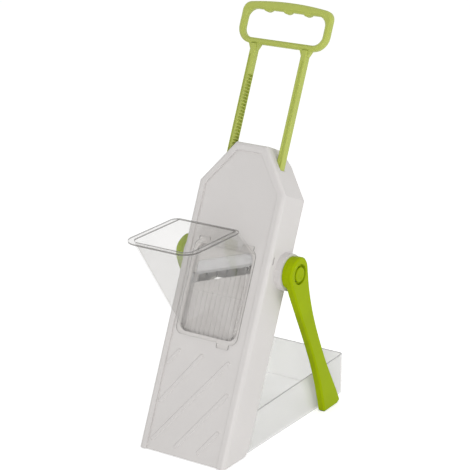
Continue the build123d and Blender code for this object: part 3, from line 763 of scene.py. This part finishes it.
@dataclass
class ClearPiece(Refined):
    """One clear piece, with soft edges cut into its mesh and faces marked for painted shade.

    The rim lies above rim_above_mm: the piece's level faces there, or else its upright ones.
    What lies deeper than clear_behind_mm is the flange. The flange's back, at seat_mm, is
    drawn seat_gap_mm off the panel. Depths are behind the board's plane. The last three
    values are limits on how far a face's normal points up, or out of the board.
    """

    sharp: float = math.radians(40.0)
    # painted shade on softened edges and round the flange, from 0 to 1
    edge_painted_shade: float = 0.0
    # painted shade on the walls, from 0 to 1
    wall_painted_shade: float = 0.0
    rim_above_mm: float = math.inf
    rim_faces_up: bool = False
    clear_behind_mm: float = math.inf
    seat_mm: float = math.inf
    seat_gap_mm: float = 0.08
    level_over: float = 0.7
    upright_under: float = 0.9
    outline_under: float = 0.3

    def is_rim(self, face: bmesh.types.BMFace) -> bool:
        """Find out whether a face is on the rim, where painted shade stands for the light that
        runs along the wall.

        Args:
            face: a face of the piece.

        Returns:
            True for a face of the rim.
        """
        if min(v.co.z for v in face.verts) < self.rim_above_mm * MM - TINY:
            return False
        up = face.normal.z
        return up > self.level_over if self.rim_faces_up else abs(up) < self.upright_under

    def shade(self, face: bmesh.types.BMFace, board: Board) -> float:
        """Find how much painted shade a flat face gets.

        Args:
            face: a face of the piece.
            board: the leaning plane, to which the piece's flange is fitted.

        Returns:
            The painted shade: 1 on the rim, a little on the walls, more round the flange and 0 on
                the flange.
        """
        if self.is_rim(face):
            return 1.0
        depth = board.depth(face.calc_center_median())
        # Walls in front of the flange get a little painted shade, to grey them.
        if depth <= self.clear_behind_mm:
            return self.wall_painted_shade
        # Faces across the board round the flange get painted shade as dark outlines.
        across = abs(face.normal.dot(board.ahead())) < self.outline_under
        return self.edge_painted_shade if across and depth < self.seat_mm else 0.0

    def mark(self, bm: bmesh.types.BMesh, board: Board) -> bmesh.types.BMLayerItem:
        """Mark how much painted shade each face gets.

        Args:
            bm: the mesh.
            board: the leaning plane.

        Returns:
            The layer that holds the marks.
        """
        if not self.rim_faces_up:
            bmesh.ops.bisect_plane(
                bm, geom=bm.verts[:] + bm.edges[:] + bm.faces[:], dist=TINY,
                plane_co=(0, 0, self.rim_above_mm * MM), plane_no=(0, 0, 1))
        bm.normal_update()
        rim = bm.faces.layers.float.new(PAINTED_SHADE_ATTRIBUTE)
        for face in bm.faces:
            face[rim] = self.shade(face, board)
        return rim

    def cut(self, bm: bmesh.types.BMesh, rim: bmesh.types.BMLayerItem) -> None:
        """Bevel the sharp edges, and mark the new faces with painted shade.

        Args:
            bm: the mesh.
            rim: the layer that holds the marks.
        """
        sharp = [e for e in bm.edges if e.is_manifold and e.calc_face_angle() > self.sharp]
        made = bmesh.ops.bevel(
            bm, geom=sharp, offset=self.edge_mm * MM, offset_type="OFFSET",
            segments=self.segments, profile=0.5, affect="EDGES", material=-1,
            clamp_overlap=True)
        # The new bevel faces get painted shade: full near the rim, else the edge share.
        for face in made["faces"]:
            high = min(v.co.z for v in face.verts) > (self.rim_above_mm - self.edge_mm) * MM
            face[rim] = 1.0 if high else self.edge_painted_shade

    def make(self, finisher: Finisher, board: Board) -> bpy.types.Object:
        """Rebuild the clear solid with softened edges and marked faces.

        Args:
            finisher: what dresses it.
            board: the leaning plane.

        Returns:
            The new piece, riding on the node's body.
        """
        bm = self.merged()
        board.lift(bm, self.seat_mm, self.seat_gap_mm)
        rim = self.mark(bm, board)
        self.cut(bm, rim)
        piece = object_from(bm, self.node + "_piece")
        piece.data.set_sharp_from_angle(angle=self.sharp)
        finisher.dress(piece, slot_of(self.node))
        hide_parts(self.node)
        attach(piece, body_of(self.node))
        return piece


@dataclass
class ClearParts:
    """Hopper and catch tray, whose rims and softened edges are marked with painted shade."""

    finisher: Finisher
    board: Board
    pieces: tuple[ClearPiece, ...] = (
        ClearPiece("food_hopper", edge_mm=0.35, edge_painted_shade=0.75, wall_painted_shade=0.09,
                   rim_above_mm=244.4, clear_behind_mm=-3.0, seat_mm=1.6),
        ClearPiece("catch_tray", edge_mm=0.4, edge_painted_shade=0.5, rim_above_mm=42.0,
                   rim_faces_up=True))

    def build(self) -> list[bpy.types.Object]:
        """Soften, mark and dress each clear piece.

        Returns:
            The new pieces.
        """
        return [item.make(self.finisher, self.board) for item in self.pieces]


@dataclass(frozen=True)
class Lamp:
    """One soft square lamp, in metres and watts."""

    name: str
    place: Place
    aim: Place
    side: float
    watts: float

    def hang(self) -> None:
        """Add the lamp and turn it to what it faces."""
        data = bpy.data.lights.new(self.name, "AREA")
        data.size = self.side
        data.energy = self.watts
        lamp = bpy.data.objects.new(self.name, data)
        lamp.location = self.place
        ray = Vector(self.aim) - Vector(self.place)
        lamp.rotation_euler = ray.to_track_quat("-Z", "Y").to_euler()
        bpy.context.scene.collection.objects.link(lamp)


@dataclass
class Studio:
    """White floor and surround, soft lamps and the photograph's camera.

    Angles are in degrees. Clear_layers is how many clear walls a ray may pass.
    """

    board: Board
    lens_px: float = 1876.3
    frame_px: float = 470.0
    sensor_mm: float = 36.0
    near: float = 0.05
    far: float = 50.0
    yaw: float = 34.009
    pitch: float = 18.634
    roll: float = -0.34
    eye_mm: Place = (1061.4, -1466.3, 861.2)
    surround_light: float = 0.5
    floor_half: float = 6.0
    floor_colour: Colour = (0.86, 0.86, 0.86)
    floor_glow: float = 0.55
    clear_layers: int = 32
    lamps: tuple[Lamp, ...] = (
        Lamp("key", place=(2.0, 0.4, 0.6), aim=(0.0, 0.0, 0.14), side=1.2, watts=10.5),
        Lamp("front", place=(1.2, -1.75, 0.35), aim=(0.0, -0.1, 0.12), side=0.8, watts=14.0),
        Lamp("fill", place=(-1.45, -1.5, 0.9), aim=(0.0, -0.1, 0.12), side=0.6, watts=5.0),
        Lamp("top", place=(0.2, 0.2, 2.2), aim=(0.0, 0.0, 0.2), side=1.6, watts=5.0))

    def camera(self) -> None:
        """Place the camera where the photograph was taken from."""
        data = bpy.data.cameras.new("camera")
        data.sensor_width = self.sensor_mm
        data.lens = self.lens_px / self.frame_px * self.sensor_mm
        data.clip_start = self.near
        data.clip_end = self.far
        camera = bpy.data.objects.new("camera", data)
        bpy.context.scene.collection.objects.link(camera)
        yaw, pitch, roll = (math.radians(a) for a in (self.yaw, self.pitch, self.roll))
        ahead = Vector((-math.sin(yaw) * math.cos(pitch), math.cos(yaw) * math.cos(pitch),
                        -math.sin(pitch)))
        level = Vector((math.cos(yaw), math.sin(yaw), 0.0))
        above = level.cross(ahead)
        right = level * math.cos(roll) + above * math.sin(roll)
        up = above * math.cos(roll) - level * math.sin(roll)
        turn = Matrix((right, up, -ahead)).transposed().to_4x4()
        eye = Vector(self.eye_mm) - Vector((0, self.board.middle_mm, 0))
        camera.matrix_world = Matrix.Translation(eye * MM) @ turn
        bpy.context.scene.camera = camera

    def surround(self) -> None:
        """Make the world plain grey light that shows as white to the camera."""
        world = bpy.data.worlds.new("surround")
        bpy.context.scene.world = world
        world.use_nodes = True
        world.node_tree.nodes.clear()
        graph = Graph(world.node_tree)
        light = graph.add("Background", Color=solid(WHITE), Strength=self.surround_light)
        seen = graph.add("Background", Color=solid(WHITE), Strength=1.0)
        mix = graph.add("MixShader")
        output = graph.add("OutputWorld")
        graph.link(self.seen_rays(graph), 0, mix, 0)
        graph.link(light, "Background", mix, 1)
        graph.link(seen, "Background", mix, 2)
        graph.link(mix, "Shader", output, "Surface")

    def seen_rays(self, graph: Graph) -> bpy.types.Node:
        """Tell the rays that see the surround from those that only gather light.

        Args:
            graph: the graph of a material or of the world.

        Returns:
            A node whose first output is 1 for camera, glossy and transmission rays.
        """
        path = graph.add("LightPath")
        first = graph.maths("MAXIMUM")
        second = graph.maths("MAXIMUM")
        graph.link(path, "Is Camera Ray", first, 0)
        graph.link(path, "Is Glossy Ray", first, 1)
        graph.link(first, 0, second, 0)
        graph.link(path, "Is Transmission Ray", second, 1)
        return second

    def floor(self) -> None:
        """Lay a pale floor that reads white and keeps the soft shadow."""
        bm = bmesh.new()
        bmesh.ops.create_grid(bm, x_segments=1, y_segments=1, size=self.floor_half)
        floor = object_from(bm, "floor")
        material, graph, output = new_material("floor_white")
        matt = graph.add("BsdfDiffuse", Color=solid(self.floor_colour))
        glow = graph.add("Emission", Color=solid(WHITE), Strength=self.floor_glow)
        both = graph.add("AddShader")
        graph.link(matt, "BSDF", both, 0)
        graph.link(glow, "Emission", both, 1)
        mix = graph.add("MixShader")
        graph.link(self.seen_rays(graph), 0, mix, 0)
        graph.link(matt, "BSDF", mix, 1)
        graph.link(both, "Shader", mix, 2)
        graph.link(mix, "Shader", output, "Surface")
        floor.data.materials.append(material)

    def build(self) -> None:
        """Set up the camera, the surround, the floor, the lamps and the view."""
        self.camera()
        self.surround()
        self.floor()
        for lamp in self.lamps:
            lamp.hang()
        bpy.context.scene.view_settings.view_transform = "Standard"
        bpy.context.scene.cycles.transparent_max_bounces = self.clear_layers


def main() -> None:
    """Build the studio and then the chopper in order, and report each piece."""
    logging.basicConfig(level=logging.INFO)
    board = Board()
    finisher = Finisher()
    Studio(board).build()
    assemblies = (Housing(finisher), ReturnSprings(finisher, board), Carriage(finisher),
                  Legs(finisher), ClearParts(finisher, board))
    for assembly in assemblies:
        for piece in assembly.build():
            LOG.info("%s: %s is in place", type(assembly).__name__, piece.name)


if __name__ == "__main__":
    main()
